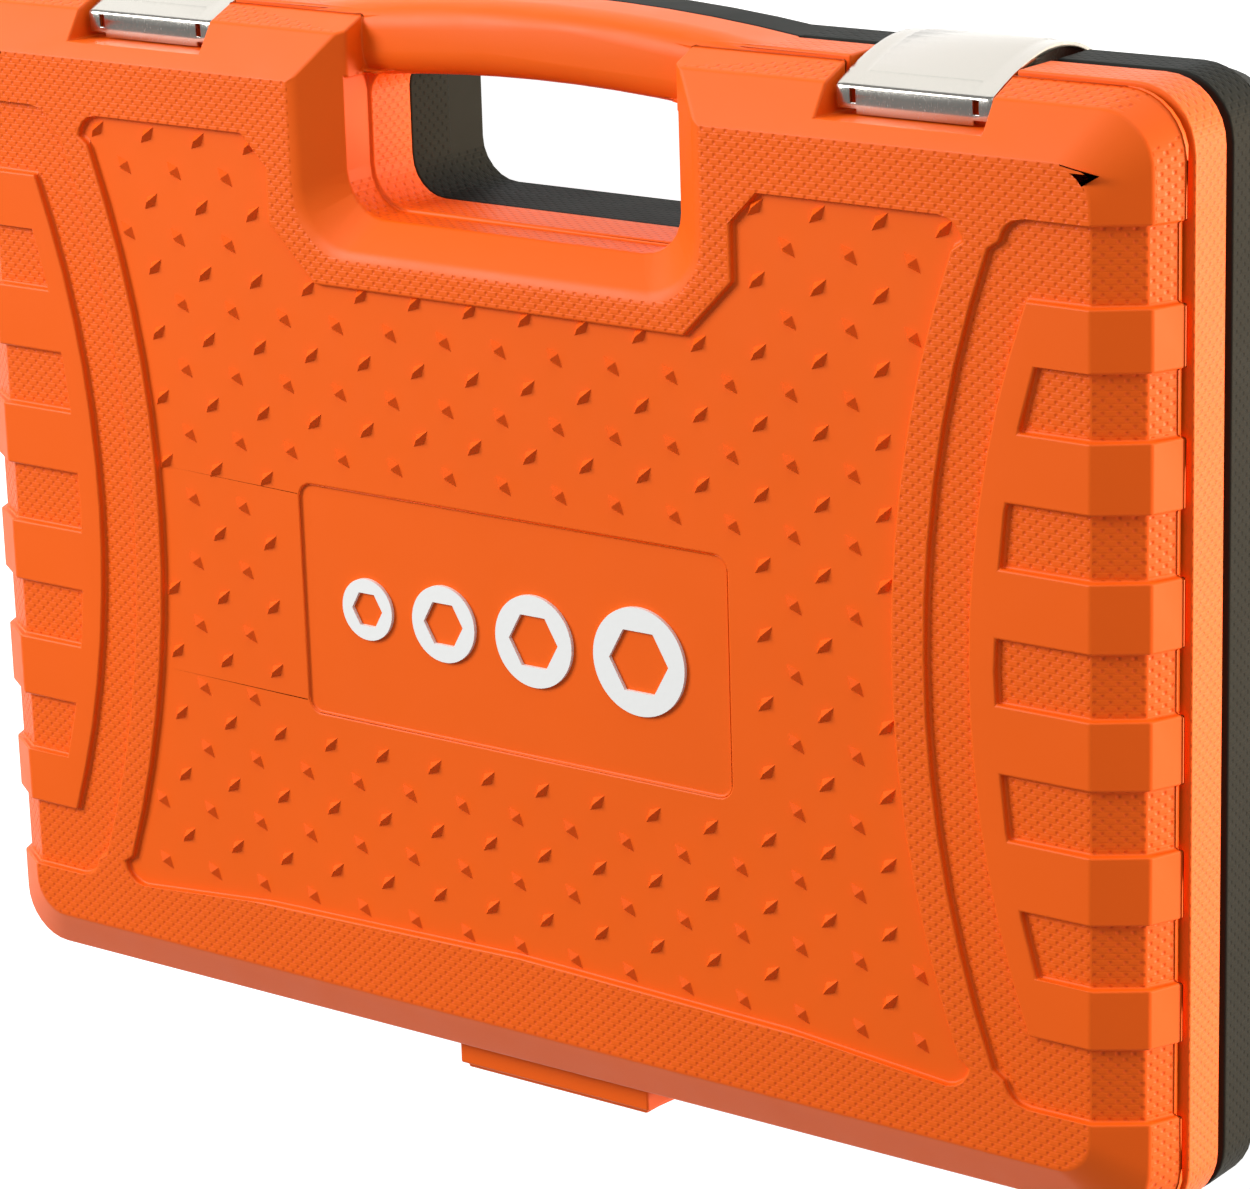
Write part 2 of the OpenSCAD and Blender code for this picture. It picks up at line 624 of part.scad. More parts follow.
module ratchet_cover() {
    color(steel) translate([head_x, row_f_y, head_z]) difference() {
        cylinder(r = 16.45, h = 2, $fn = 64);
        translate([0, 0, -1]) cylinder(r = 9.4, h = 4, $fn = 48);
        for (s = [-1, 1]) translate([0, s * 14.9, -1]) cylinder(r = 1.3, h = 4, $fn = 24);
    }
}
module ratchet_screws() {
    color(steel) for (s = [-1, 1]) translate([head_x, row_f_y + s * 14.9, head_z - 0.8]) {
        difference() {
            cylinder(r = 1.5, h = 0.8, $fn = 24);
            translate([-0.25, -2, -1]) cube([0.5, 4, 1.4]);
        }
        cylinder(r = 1.19, h = 8, $fn = 24);
    }
}
teeth = 36;
module ratchet_gear() {
    color(steel) translate([head_x, row_f_y, 0]) difference() {
        union() {
            translate([0, 0, head_z + 2.05]) cylinder(r = gear_r, h = 1, $fn = 64);
            translate([0, 0, head_z + 3]) linear_extrude(12.5)
                polygon([for (i = [0:2 * teeth - 1]) let (a = i * 180 / teeth,
                    r = i % 2 == 0 ? gear_r - 0.15 : gear_r - 1.3) [r * cos(a), r * sin(a)]]);
            translate([0, 0, head_z - 0.6]) cylinder(r = 9.3, h = 4, $fn = 48);
            translate([-drive / 2, -drive / 2, head_z - 16]) cube([drive, drive, 17]);
        }
        // bore of the release plunger, and the ball's seat
        translate([0, 0, head_z - 10]) cylinder(r = 2 + run_fit, h = 40, $fn = 32);
        translate([2.5, 0, head_z - 8]) rotate([0, 90, 0]) cylinder(r = 2, h = 6, $fn = 32);
    }
}
module ratchet_ball() {
    color(steel) translate([head_x + drive / 2 - 1.3, row_f_y, head_z - 8])
        sphere(r = 1.95, $fn = 32);
}
// selector lever: a thumb piece on the back with its spindle through the head
module ratchet_selector() {
    color(steel) translate([pivot_x, row_f_y, 0]) union() {
        translate([0, 0, head_z + 4]) cylinder(r = 3, h = head_h - 3, $fn = 40);
        translate([0, 0, head_z + head_h + 0.2]) cylinder(r = 6.4, h = 4, $fn = 48);
        translate([0, -2.6, head_z + head_h + 0.2]) cube([17, 5.2, 4]);
    }
}
// two-ended pawl pressed onto the spindle
module ratchet_pawl() {
    color(steel) translate([pivot_x, row_f_y, head_z + 4.5]) difference() {
        linear_extrude(10) polygon([[5, -3], [5, 3], [2, 5.6], [-5.5, 5.2], [-8.3, 3.6],
            [-8.3, 2.0], [-6.9, 0], [-8.3, -2.0], [-8.3, -3.6], [-5.5, -5.2], [2, -5.6]]);
        translate([0, 0, -1]) cylinder(r = 3, h = 12, $fn = 40);
    }
}
module ratchet_button() {
    color(steel) translate([head_x, row_f_y, 0]) union() {
        translate([0, 0, head_z + 18.6]) cylinder(r = 5, h = head_h - 18.6 + 3.4, $fn = 48);
        translate([0, 0, head_z - 6]) cylinder(r = 2, h = 26, $fn = 32);
    }
}
// moulded grip and its end cap, pushed onto the shank
module ratchet_grip() {
    color([0.12, 0.12, 0.12]) translate([grip_x0, row_f_y, grip_z]) rotate([0, 90, 0]) difference() {
        rotate_extrude($fn = 64) polygon([[0, 0], [10, 0], [12.8, 3], [13.6, 10], [12.4, 24],
            [12.6, 50], [grip_r, 80], [grip_r, 100], [13.4, grip_l], [0, grip_l]]);
        translate([0, 0, -1]) cylinder(r = shank_r, h = grip_l + 2, $fn = 48);
    }
}
module ratchet_end_cap() {
    color([0.93, 0.33, 0.08]) translate([grip_x0 + grip_l, row_f_y, grip_z]) rotate([0, 90, 0])
        rotate_extrude($fn = 64) polygon([[0, 0], [13.4, 0], [13, 2.6], [10, 4], [0, 4]]);
}

// ---------------------------------------------------------------- universal joint
uj_x = -cav_x + 52;
uj_z = lie_z(bar_end_r) + 1;
ear_t = 4.4;
cross_r = 3;
ear_r = 5.2;
// socket yoke: square socket at its outer end, two ears above and below the cross
module joint_socket_yoke() {
    color(steel) translate([uj_x, block_row_y, uj_z]) difference() {
        union() {
            translate([12, 0, 0]) rotate([0, 90, 0]) cylinder(r = bar_end_r, h = 22, $fn = 64);
            for (s = [-1, 1]) intersection() {
                translate([0, 0, s > 0 ? bar_end_r - ear_t - 1 : -bar_end_r + 1]) union() {
                    cylinder(r = ear_r, h = ear_t, $fn = 48);
                    translate([0, -ear_r, 0]) cube([13.5, 2 * ear_r, ear_t]);
                }
                translate([-8, 0, 0]) rotate([0, 90, 0])
                    cylinder(r = bar_end_r, h = 30, $fn = 64);
            }
        }
        translate([18, -drive / 2 - 0.1, -drive / 2 - 0.1]) cube([18, drive + 0.2, drive + 0.2]);
        translate([0, 0, -20]) cylinder(r = cross_r + run_fit, h = 40, $fn = 40);
    }
}
// cross: a block with one pin up and down and one pin to each side
module joint_cross() {
    color(steel) translate([uj_x, block_row_y, uj_z]) union() {
        translate([-5, -5, -5]) cube([10, 10, 10]);
        translate([0, 0, -bar_end_r + 1.6]) cylinder(r = cross_r, h = 2 * bar_end_r - 3.2, $fn = 40);
        translate([0, bar_end_r - 1.6, 0]) rotate([90, 0, 0])
            cylinder(r = cross_r, h = 2 * bar_end_r - 3.2, $fn = 40);
    }
}
// drive yoke: two ears beside the cross and the square drive
module joint_drive_yoke() {
    color(steel) translate([uj_x, block_row_y, uj_z]) difference() {
        union() {
            translate([-22, 0, 0]) rotate([0, 90, 0]) cylinder(r = bar_end_r - 1.5, h = 9, $fn = 64);
            translate([-38, -drive / 2, -drive / 2]) cube([17, drive, drive]);
            for (s = [-1, 1]) intersection() {
                translate([0, s > 0 ? bar_end_r - ear_t - 1 : -bar_end_r + 1, 0]) union() {
                    rotate([-90, 0, 0]) cylinder(r = ear_r, h = ear_t, $fn = 48);
                    translate([-14, 0, -ear_r]) cube([14, ear_t, 2 * ear_r]);
                }
                translate([-16, 0, 0]) rotate([0, 90, 0])
                    cylinder(r = bar_end_r, h = 30, $fn = 64);
            }
        }
        translate([0, 20, 0]) rotate([90, 0, 0]) cylinder(r = cross_r + run_fit, h = 40, $fn = 40);
        translate([-30, 0, 2]) cylinder(r = 2, h = 6, $fn = 32);
    }
}
module joint_ball() {
    color(steel) translate([uj_x - 30, block_row_y, uj_z + drive / 2 - 1.3])
        sphere(r = 1.95, $fn = 32);
}

lid_shell();
lid_emblem();
base_shell();
hinge_pin();
latch_left();
latch_right();
latch_pins();
socket_10mm();
socket_11mm();
socket_12mm();
socket_13mm();
socket_14mm();
socket_15mm();
socket_16mm();
socket_17mm();
socket_18mm();
socket_19mm();
socket_20mm();
socket_21mm();
socket_22mm();
socket_23mm();
socket_24mm();
socket_27mm();
socket_30mm();
socket_32mm();
plug_socket_16mm();
plug_insert_16mm();
plug_socket_21mm();
plug_insert_21mm();
ratchet_body();
ratchet_grip();
ratchet_end_cap();
ratchet_cover();
ratchet_screws();
ratchet_gear();
ratchet_ball();
ratchet_selector();
ratchet_pawl();
ratchet_button();
long_extension();
short_extension();
extension_balls();
joint_socket_yoke();
joint_cross();
joint_drive_yoke();
joint_ball();
tbar_rod();
tbar_slider();
tbar_ball();
tbar_stops();
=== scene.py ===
import json
import math
import bmesh
import bpy
import numpy as np
from mathutils import Matrix, Vector


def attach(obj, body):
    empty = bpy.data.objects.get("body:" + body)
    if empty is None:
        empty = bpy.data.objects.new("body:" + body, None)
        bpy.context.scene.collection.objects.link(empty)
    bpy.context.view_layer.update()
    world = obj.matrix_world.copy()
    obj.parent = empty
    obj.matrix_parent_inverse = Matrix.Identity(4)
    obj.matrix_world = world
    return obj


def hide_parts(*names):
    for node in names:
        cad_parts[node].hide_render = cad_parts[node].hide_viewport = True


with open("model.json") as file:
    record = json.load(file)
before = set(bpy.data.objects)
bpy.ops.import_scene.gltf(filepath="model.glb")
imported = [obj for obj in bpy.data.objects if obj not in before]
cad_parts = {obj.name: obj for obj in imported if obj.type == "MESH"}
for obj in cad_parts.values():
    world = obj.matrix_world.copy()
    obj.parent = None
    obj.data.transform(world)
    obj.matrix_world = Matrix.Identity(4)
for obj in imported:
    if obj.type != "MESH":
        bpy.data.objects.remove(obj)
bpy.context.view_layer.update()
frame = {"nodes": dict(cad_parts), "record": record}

# ---------------------------------------------------------------- studio
# A pale sweep lit evenly from under and around, a large soft box to the upper left of the lid,
# and a long-lens camera that looks at the lid from its right and a little above.
camera_lens = bpy.data.cameras.new("camera")
camera_lens.sensor_width = 36
camera_lens.lens = 129.51
camera_lens.clip_start = 0.05
camera_lens.clip_end = 60
camera = bpy.data.objects.new("camera", camera_lens)
camera.matrix_world = Matrix((
    (-0.802357, 0.147012, -0.578456, -0.70025),
    (0.029563, -0.958211, -0.284532, -0.32750),
    (-0.596112, -0.245398, 0.764481, 0.94814),
    (0, 0, 0, 1)))
bpy.context.collection.objects.link(camera)
bpy.context.scene.camera = camera
bpy.context.scene.view_settings.view_transform = "Standard"


def linear(code, alpha=1.0):
    """An sRGB hex colour as the linear values that a shader takes."""
    parts = [int(code[i:i + 2], 16) / 255 for i in (1, 3, 5)]
    return [c / 12.92 if c <= 0.04045 else ((c + 0.055) / 1.055) ** 2.4 for c in parts] + [alpha]


def add(mat, kind, links=None, **settings):
    """Adds one node with its settings; links maps an input to a value or to another output."""
    made = mat.node_tree.nodes.new(kind)
    for name, value in settings.items():
        setattr(made, name, value)
    for name, value in (links or {}).items():
        if isinstance(value, bpy.types.NodeSocket):
            mat.node_tree.links.new(value, made.inputs[name])
        else:
            made.inputs[name].default_value = value
    return made


def finish_of(name, colour, roughness, metallic=0.0, ior=1.5):
    """A material with one Principled shader; returns it and the shader."""
    mat = bpy.data.materials.new(name)
    mat.use_nodes = True
    mat.diffuse_color = linear(colour)
    shader = mat.node_tree.nodes["Principled BSDF"]
    shader.inputs["Base Color"].default_value = linear(colour)
    shader.inputs["Roughness"].default_value = roughness
    shader.inputs["Metallic"].default_value = metallic
    shader.inputs["IOR"].default_value = ior
    return mat, shader


def pick(*objects):
    """Selects just these objects, the last one active."""
    bpy.ops.object.select_all(action="DESELECT")
    for o in objects:
        o.select_set(True)
        bpy.context.view_layer.objects.active = o


# Seamless pale paper: matt, with a faint tooth, and lit from below so that it stays white.
paper, paper_shader = finish_of("seamless_paper_matt", "#B4B4B2", 0.9)
paper_noise = add(paper, "ShaderNodeTexNoise", {"Scale": 40.0, "Detail": 3.0})
paper_bump = add(paper, "ShaderNodeBump", {"Height": paper_noise.outputs[0], "Strength": 0.05,
                                           "Distance": 0.001})
paper.node_tree.links.new(paper_bump.outputs[0], paper_shader.inputs["Normal"])
paper_shader.inputs["Emission Color"].default_value = linear("#FFFFFF")
paper_shader.inputs["Emission Strength"].default_value = 1.0
pick()
bpy.ops.mesh.primitive_plane_add(size=16, location=(0, 0, -0.0005))
floor = bpy.context.active_object
floor.name = "paper_floor"
floor.data.materials.append(paper)
floor.visible_shadow = False


def soft_box(name, direction, distance, size, power, colour="#FFFFFF"):
    """A square soft box that looks at the middle of the case."""
    lamp = bpy.data.lights.new(name, "AREA")
    lamp.shape = "SQUARE"
    lamp.size = size
    lamp.energy = power
    lamp.color = linear(colour)[:3]
    holder = bpy.data.objects.new(name, lamp)
    away = Vector(direction).normalized()
    holder.matrix_world = Matrix.LocRotScale(
        Vector((0, 0, 0.04)) + away * distance, away.to_track_quat("Z", "Y"), Vector((1, 1, 1)))
    bpy.context.collection.objects.link(holder)


soft_box("key_box", (0.62, -0.42, 0.66), 2.2, 1.0, 46)
soft_box("top_box", (-0.25, -0.85, 0.45), 2.2, 1.6, 10)
soft_box("side_box", (-0.86, 0.0, -0.51), 1.7, 0.8, 50, "#FFDDB5")
world = bpy.data.worlds.new("studio_air")
world.use_nodes = True
world.node_tree.nodes["Background"].inputs["Color"].default_value = linear("#F6F7F8")
world.node_tree.nodes["Background"].inputs["Strength"].default_value = 0.30
bpy.context.scene.world = world


# ---------------------------------------------------------------- case halves
# Two blow-moulded halves of coloured polyethylene, one orange and one charcoal. The mould gives
# them soft edges, a smooth panel, smooth chamfers, and a net of small pillows everywhere else.
case_hw, case_hh, parting = 193.5, 142.5, 40.0
corner_r = 16
depth_of = {"lid_shell": 35.0, "base_shell": 40.0}
sharp_angle = math.radians(24)
waist_r, comb_r = 293.8, 263.9


def weigh_edges(piece, depth, up):
    """How round each edge is, as a share of 3 mm: widest on the slope round the grip."""
    work = bmesh.new()
    work.from_mesh(piece.data)
    weight = work.edges.layers.float.new("bevel_weight_edge")
    for edge in work.edges:
        if not edge.is_manifold or edge.calc_face_angle(0) < sharp_angle:
            continue
        mid = (edge.verts[0].co + edge.verts[1].co) * 500
        x, y, w = abs(mid.x), mid.y, (mid.z - parting) * up
        share = 0.23
        level = abs(edge.verts[0].co.z - edge.verts[1].co.z) < 0.0004
        if level and y < -79 and x < 66.5 and w > depth - 0.5:
            share = 0.9
        elif level and x < 56 and -91.5 < y and y < -75 and abs(w - depth + 9.7) < 0.5:
            share = 0.5
        edge[weight] = share
    work.to_mesh(piece.data)
    work.free()


def shell_from(node, name):
    """A copy of a half with merged faces and moulded soft edges."""
    piece = bpy.data.objects.new(name, frame["nodes"][node].data.copy())
    bpy.context.collection.objects.link(piece)
    piece.data.materials.clear()
    pick(piece)
    bpy.ops.mesh.customdata_custom_splitnormals_clear()
    bpy.ops.object.mode_set(mode="EDIT")
    bpy.ops.mesh.select_all(action="SELECT")
    bpy.ops.mesh.remove_doubles(threshold=0.00001)
    bpy.ops.mesh.dissolve_limited(angle_limit=math.radians(1.0))
    bpy.ops.mesh.vert_connect_concave()
    bpy.ops.object.mode_set(mode="OBJECT")
    weigh_edges(piece, depth_of[node], 1 if node == "lid_shell" else -1)
    soft = piece.modifiers.new("soft_edges", "BEVEL")
    soft.width = 0.003
    soft.segments = 3
    soft.limit_method = "WEIGHT"
    soft.use_clamp_overlap = False
    bpy.ops.object.modifier_apply(modifier=soft.name)
    piece.modifiers.new("faces", "TRIANGULATE")
    bpy.ops.object.modifier_apply(modifier="faces")
    bpy.ops.object.shade_smooth()
    even = piece.modifiers.new("even_light", "WEIGHTED_NORMAL")
    even.weight = 80
    bpy.ops.object.modifier_apply(modifier=even.name)
    return piece


def face_curve(x0, y):
    """Half width of the waisted outline at height y."""
    return x0 + waist_r - np.sqrt(waist_r ** 2 - np.minimum(np.abs(y), 140) ** 2)


def lay_grain(piece, depth, up):
    """Writes where the mould is textured, and a map in mm that follows each wall."""
    mesh = piece.data
    co = np.empty(len(mesh.vertices) * 3)
    mesh.vertices.foreach_get("co", co)
    co = co.reshape(-1, 3) * 1000
    corner = np.empty(len(mesh.loops), int)
    mesh.loops.foreach_get("vertex_index", corner)
    normal = np.empty(len(mesh.polygons) * 3)
    mesh.polygons.foreach_get("normal", normal)
    normal = normal.reshape(-1, 3)
    tri = corner.reshape(-1, 3)
    mid = co[tri].mean(1)
    x, y, w = np.abs(mid[:, 0]), mid[:, 1], (mid[:, 2] - parting) * up
    ay = np.abs(y)
    nx, ny, nz = normal[:, 0] * np.sign(mid[:, 0]), normal[:, 1] * np.sign(y), normal[:, 2] * up
    # distance outside the case's rounded outline, and how far each face looks outwards
    qx, qy = np.maximum(x - case_hw + corner_r, 0), np.maximum(ay - case_hh + corner_r, 0)
    q = np.hypot(qx, qy)
    round_corner = (qx > 0) & (qy > 0)
    out = np.where(round_corner, q - corner_r, np.maximum(x - case_hw, ay - case_hh))
    side = x - case_hw > ay - case_hh
    gx = np.where(round_corner, qx / np.maximum(q, 1e-6), side)
    gy = np.where(round_corner, qy / np.maximum(q, 1e-6), ~side)
    outward = nx * gx + ny * gy
    flat = nz > 0.985
    handle = (x < 78) & (y < -case_hh + corner_r)
    comb = (x > 405.2 - np.sqrt(comb_r ** 2 - np.minimum(ay, 140) ** 2)) & (ay < 93)
    channel = (np.abs(x - 122) < 24) & (y < -126)
    textured = flat & (w > depth - 0.3) & ~comb
    textured |= flat & (np.abs(w - depth + 1.8) < 0.4) & (x > face_curve(124.9, y))
    chamfer = (nz > 0.55) & (nz < 0.95) & (outward > 0.4)
    sunk = (x - 188.6) * 0.552 + (w - depth + 8) * 0.834 < -0.8
    textured |= chamfer & side & sunk & (x > 168) & (ay < 112)
    wall = (nz < 0.45) & (outward > 0.88)
    lean = math.hypot(3.9, depth - 26)
    sunk = (x - 192.5) * (depth - 26) / lean + (w - 18) * 3.9 / lean < -0.8
    textured |= wall & side & sunk & (x > 182) & (ay < 111) & (w > 18.3)
    full = wall & (w > 18.7) & (w < depth - 8.2) & (out > -5.3) & (out < -0.6)
    textured |= full & ~(side & (ay < 111.5)) & ~handle & ~channel
    hinge = (x < 50) & (y > 0)
    textured |= wall & (out > -0.35) & (out < 0.3) & (w > 2.1) & (w < 15.7) & ~handle & ~hinge & ~channel
    textured |= (np.abs(nz) < 0.15) & (x < 53.2) & (y > -128) & (y < -89.5)
    grain = mesh.attributes.new("grain", "FLOAT", "CORNER")
    grain.data.foreach_set("value", np.repeat(textured.astype(np.float32), 3))
    # map: along x and y on the face, folded down the walls
    p = co[corner]
    pw = (p[:, 2] - parting) * up
    fold = np.where(pw > depth - 8, (depth - pw) * 1.81, 14.5 + depth - 8 - pw)
    steep = np.repeat(nz < 0.97, 3)
    x_wall = np.repeat(np.abs(normal[:, 0]) > np.abs(normal[:, 1]), 3)
    u = np.where(steep & x_wall, 176.5 + fold, p[:, 0])
    u = np.where(steep & x_wall & (p[:, 0] < 0), -u, u)
    v = np.where(steep & ~x_wall, 125.5 + fold, p[:, 1])
    v = np.where(steep & ~x_wall & (p[:, 1] < 0), -v, v)
    laid = mesh.uv_layers.new(name="moulded")
    laid.data.foreach_set("uv", np.stack([u, v], 1).astype(np.float32).ravel())
    mesh.uv_layers.active = laid


# the second colour is painted shade: the darker colour that the pillows' pits are mixed toward, standing
# in for the shade in them
def moulded_plastic(name, colour, painted_pit_shade_colour, roughness, gloss, grip):
    """Coloured polyethylene: satin from the mould's sandblasted steel, with a faint ripple where
    it cooled, and pillows 3.54 mm long in rows 1.57 mm apart on the textured walls."""
    mat, shader = finish_of(name, colour, roughness, ior=1.51)
    shader.inputs["Specular IOR Level"].default_value = gloss
    place = add(mat, "ShaderNodeUVMap", uv_map="moulded")
    axes = add(mat, "ShaderNodeSeparateXYZ", {"Vector": place.outputs[0]})
    rows = add(mat, "ShaderNodeMath", {0: axes.outputs[1], 1: 1.57}, operation="DIVIDE")
    row = add(mat, "ShaderNodeMath", {0: rows.outputs[0]}, operation="FLOOR")
    odd = add(mat, "ShaderNodeMath", {0: row.outputs[0], 1: 0.5}, operation="MULTIPLY")
    length = add(mat, "ShaderNodeMath", {0: axes.outputs[0], 1: 1 / 3.54, 2: odd.outputs[0]},
                 operation="MULTIPLY_ADD")
    in_row = add(mat, "ShaderNodeMath", {0: rows.outputs[0]}, operation="FRACT")
    ends = add(mat, "ShaderNodeMath", {0: length.outputs[0]}, operation="FRACT")
    ends = add(mat, "ShaderNodeMath", {0: ends.outputs[0], 1: 2.0, 2: -1.0},
               operation="MULTIPLY_ADD")
    ends = add(mat, "ShaderNodeMath", {0: ends.outputs[0]}, operation="ABSOLUTE")
    brim = add(mat, "ShaderNodeMath", {0: in_row.outputs[0], 1: 2.0, 2: -1.0},
               operation="MULTIPLY_ADD")
    brim = add(mat, "ShaderNodeMath", {0: brim.outputs[0]}, operation="ABSOLUTE")
    near_end = add(mat, "ShaderNodeMapRange", {"Value": ends.outputs[0], "From Min": 0.55,
                                               "From Max": 1.0}, interpolation_type="SMOOTHSTEP")
    mid_row = add(mat, "ShaderNodeMapRange", {"Value": brim.outputs[0], "From Min": 0.1,
                                              "From Max": 1.0, "To Min": 1.0, "To Max": 0.0},
                  interpolation_type="SMOOTHSTEP")
    hole = add(mat, "ShaderNodeMath", {0: near_end.outputs[0], 1: mid_row.outputs[0]},
               operation="MULTIPLY")
    seam = add(mat, "ShaderNodeMapRange", {"Value": brim.outputs[0], "From Min": 0.5,
                                           "From Max": 1.0, "To Max": 0.3},
               interpolation_type="SMOOTHSTEP")
    low = add(mat, "ShaderNodeMath", {0: hole.outputs[0], 1: seam.outputs[0]}, operation="ADD")
    pillow = add(mat, "ShaderNodeMath", {0: 1.0, 1: low.outputs[0]}, operation="SUBTRACT")
    where = add(mat, "ShaderNodeAttribute", attribute_name="grain", attribute_type="GEOMETRY")
    raised = add(mat, "ShaderNodeMath", {0: pillow.outputs[0], 1: where.outputs["Fac"]},
                 operation="MULTIPLY")
    tall = add(mat, "ShaderNodeMath", {0: raised.outputs[0], 1: grip}, operation="MULTIPLY")
    spot = add(mat, "ShaderNodeTexCoord")
    ripple = add(mat, "ShaderNodeTexNoise", {"Vector": spot.outputs["Object"], "Scale": 90.0,
                                             "Detail": 2.0, "Roughness": 0.5})
    blast = add(mat, "ShaderNodeTexNoise", {"Vector": spot.outputs["Object"], "Scale": 2200.0,
                                            "Detail": 1.0})
    fine = add(mat, "ShaderNodeMath", {0: ripple.outputs[0], 1: 0.05}, operation="MULTIPLY")
    finer = add(mat, "ShaderNodeMath", {0: blast.outputs[0], 1: 0.006, 2: fine.outputs[0]},
                operation="MULTIPLY_ADD")
    height = add(mat, "ShaderNodeMath", {0: tall.outputs[0], 1: finer.outputs[0]},
                 operation="ADD")
    bump = add(mat, "ShaderNodeBump", {"Height": height.outputs[0], "Strength": 1.0,
                                       "Distance": 0.001})
    mat.node_tree.links.new(bump.outputs[0], shader.inputs["Normal"])
    # painted shade: the pits are mixed toward a darker colour where shade would fall in them; the body
    # varies a little where the wall cooled unevenly
    pit_shade_share = add(mat, "ShaderNodeMath", {0: hole.outputs[0], 1: 0.6}, operation="MULTIPLY")
    painted_pit_shade = add(mat, "ShaderNodeMath", {0: pit_shade_share.outputs[0], 1: where.outputs["Fac"]},
                   operation="MULTIPLY")
    cloud = add(mat, "ShaderNodeTexNoise", {"Vector": spot.outputs["Object"], "Scale": 14.0,
                                            "Detail": 2.0})
    body = add(mat, "ShaderNodeMix", data_type="RGBA")
    light = [min(1.0, c * 1.05) for c in linear(colour)[:3]] + [1]
    deep = [c * 0.95 for c in linear(colour)[:3]] + [1]
    body.inputs[6].default_value = deep
    body.inputs[7].default_value = light
    mat.node_tree.links.new(cloud.outputs[0], body.inputs[0])
    # mixes the painted pit shade into the body colour
    shade = add(mat, "ShaderNodeMix", data_type="RGBA")
    shade.inputs[7].default_value = linear(painted_pit_shade_colour)
    mat.node_tree.links.new(painted_pit_shade.outputs[0], shade.inputs[0])
    mat.node_tree.links.new(body.outputs[2], shade.inputs[6])
    mat.node_tree.links.new(shade.outputs[2], shader.inputs["Base Color"])
    uneven = add(mat, "ShaderNodeMapRange", {"Value": ripple.outputs[0], "To Min": roughness - 0.05,
                                             "To Max": roughness + 0.06})
    mat.node_tree.links.new(uneven.outputs[0], shader.inputs["Roughness"])
    return mat


# the second colour of each plastic is the painted shade in its pits
orange = moulded_plastic("polyethylene_orange_moulded", "#F5620A", "#D9480C", 0.47, 0.25, 0.19)
charcoal = moulded_plastic("polyethylene_charcoal_moulded", "#252724", "#151614", 0.6, 0.06, 0.19)

lid_case = shell_from("lid_shell", "lid_moulding")
lay_grain(lid_case, depth_of["lid_shell"], 1)
lid_case.data.materials.append(orange)
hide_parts("lid_shell")
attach(lid_case, "lid")

base_case = shell_from("base_shell", "base_moulding")
lay_grain(base_case, depth_of["base_shell"], -1)
base_case.data.materials.append(charcoal)
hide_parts("base_shell")
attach(base_case, "base")


# ---------------------------------------------------------------- grip studs
# Rows of small long pyramids are moulded on the smooth panel, each row turned the other way.
# They are 7 mm long, 3.5 mm wide and 1.95 mm high, on an 18.1 mm square lattice.
stud_pitch = 18.08
stud_columns, stud_rows = 16, 14
stud_count = stud_columns * stud_rows


def stud_field(name, turn, x0, y0, z, up, body, mat):
    """One stud modelled, repeated over the panel, and cleared where there is no panel."""
    pick()
    bpy.ops.mesh.primitive_cone_add(vertices=4, radius1=0.0037, radius2=0, depth=0.0021,
                                    location=(0, 0, 0), end_fill_type="NOTHING")
    field = bpy.context.active_object
    field.name = name
    field.data.transform(Matrix.Translation((0, 0, 0.0009)))
    bpy.ops.object.mode_set(mode="EDIT")
    bpy.ops.mesh.select_all(action="SELECT")
    bpy.ops.transform.resize(value=(1, 0.5, 1), center_override=(0, 0, 0))
    bpy.ops.object.mode_set(mode="OBJECT")
    field.data.transform(Matrix.Rotation(math.radians(turn), 4, "Z"))
    if up < 0:
        field.data.transform(Matrix.Rotation(math.pi, 4, "X"))
        field.data.transform(Matrix.Rotation(math.radians(2 * turn), 4, "Z"))
    first_x, first_y = x0 - 8 * stud_pitch, y0 - stud_pitch
    field.data.transform(Matrix.Translation((first_x / 1000, first_y / 1000, z / 1000)))
    field.matrix_world = Matrix.Identity(4)
    for i, step in enumerate(((stud_pitch, 0, 0), (0, stud_pitch, 0))):
        row = field.modifiers.new(f"row{i}", "ARRAY")
        row.count = (stud_columns, stud_rows)[i]
        row.use_relative_offset = False
        row.use_constant_offset = True
        row.constant_offset_displace = [s / 1000 for s in step]
        bpy.ops.object.modifier_apply(modifier=row.name)
    keep = []
    per = len(field.data.vertices) // stud_count
    for k in range(stud_count):
        c = field.data.vertices[k * per].co * 0
        for j in range(per):
            c += field.data.vertices[k * per + j].co / per
        x, y = abs(c.x * 1000), c.y * 1000
        panel_top = 102.5 if x < 87 else 108.5
        inside = x < float(face_curve(119.97, y)) - 2.5 and -108.4 < y < panel_top
        grip = y < -71.9 and x < 78.5
        label = up > 0 and x < 72.6 and -19.5 < y < 51
        keep.append(inside and not grip and not label)
    bpy.ops.object.mode_set(mode="EDIT")
    bpy.ops.mesh.select_all(action="DESELECT")
    bpy.ops.object.mode_set(mode="OBJECT")
    for k, kept in enumerate(keep):
        if not kept:
            for j in range(per):
                field.data.vertices[k * per + j].select = True
    bpy.ops.object.mode_set(mode="EDIT")
    bpy.ops.mesh.delete(type="VERT")
    bpy.ops.object.mode_set(mode="OBJECT")
    field.data.materials.append(mat)
    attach(field, body)


half_pitch = stud_pitch / 2
lid_panel_z, base_panel_z = 73.2, 1.8
stud_field("lid_studs_a", 45, half_pitch, -88.4, lid_panel_z, 1, "lid", orange)
stud_field("lid_studs_b", -45, 0, -79.4, lid_panel_z, 1, "lid", orange)
stud_field("base_studs_a", 45, half_pitch, -88.4, base_panel_z, -1, "base", charcoal)
stud_field("base_studs_b", -45, 0, -79.4, base_panel_z, -1, "base", charcoal)


# ---------------------------------------------------------------- latches
# Each latch is one strip of spring steel, stamped, bowed and nickel plated: a curl around the
# pin, a wide plate with a raised field, and a folded lip with an ear at each end that snaps on.
latch_w = 0.044


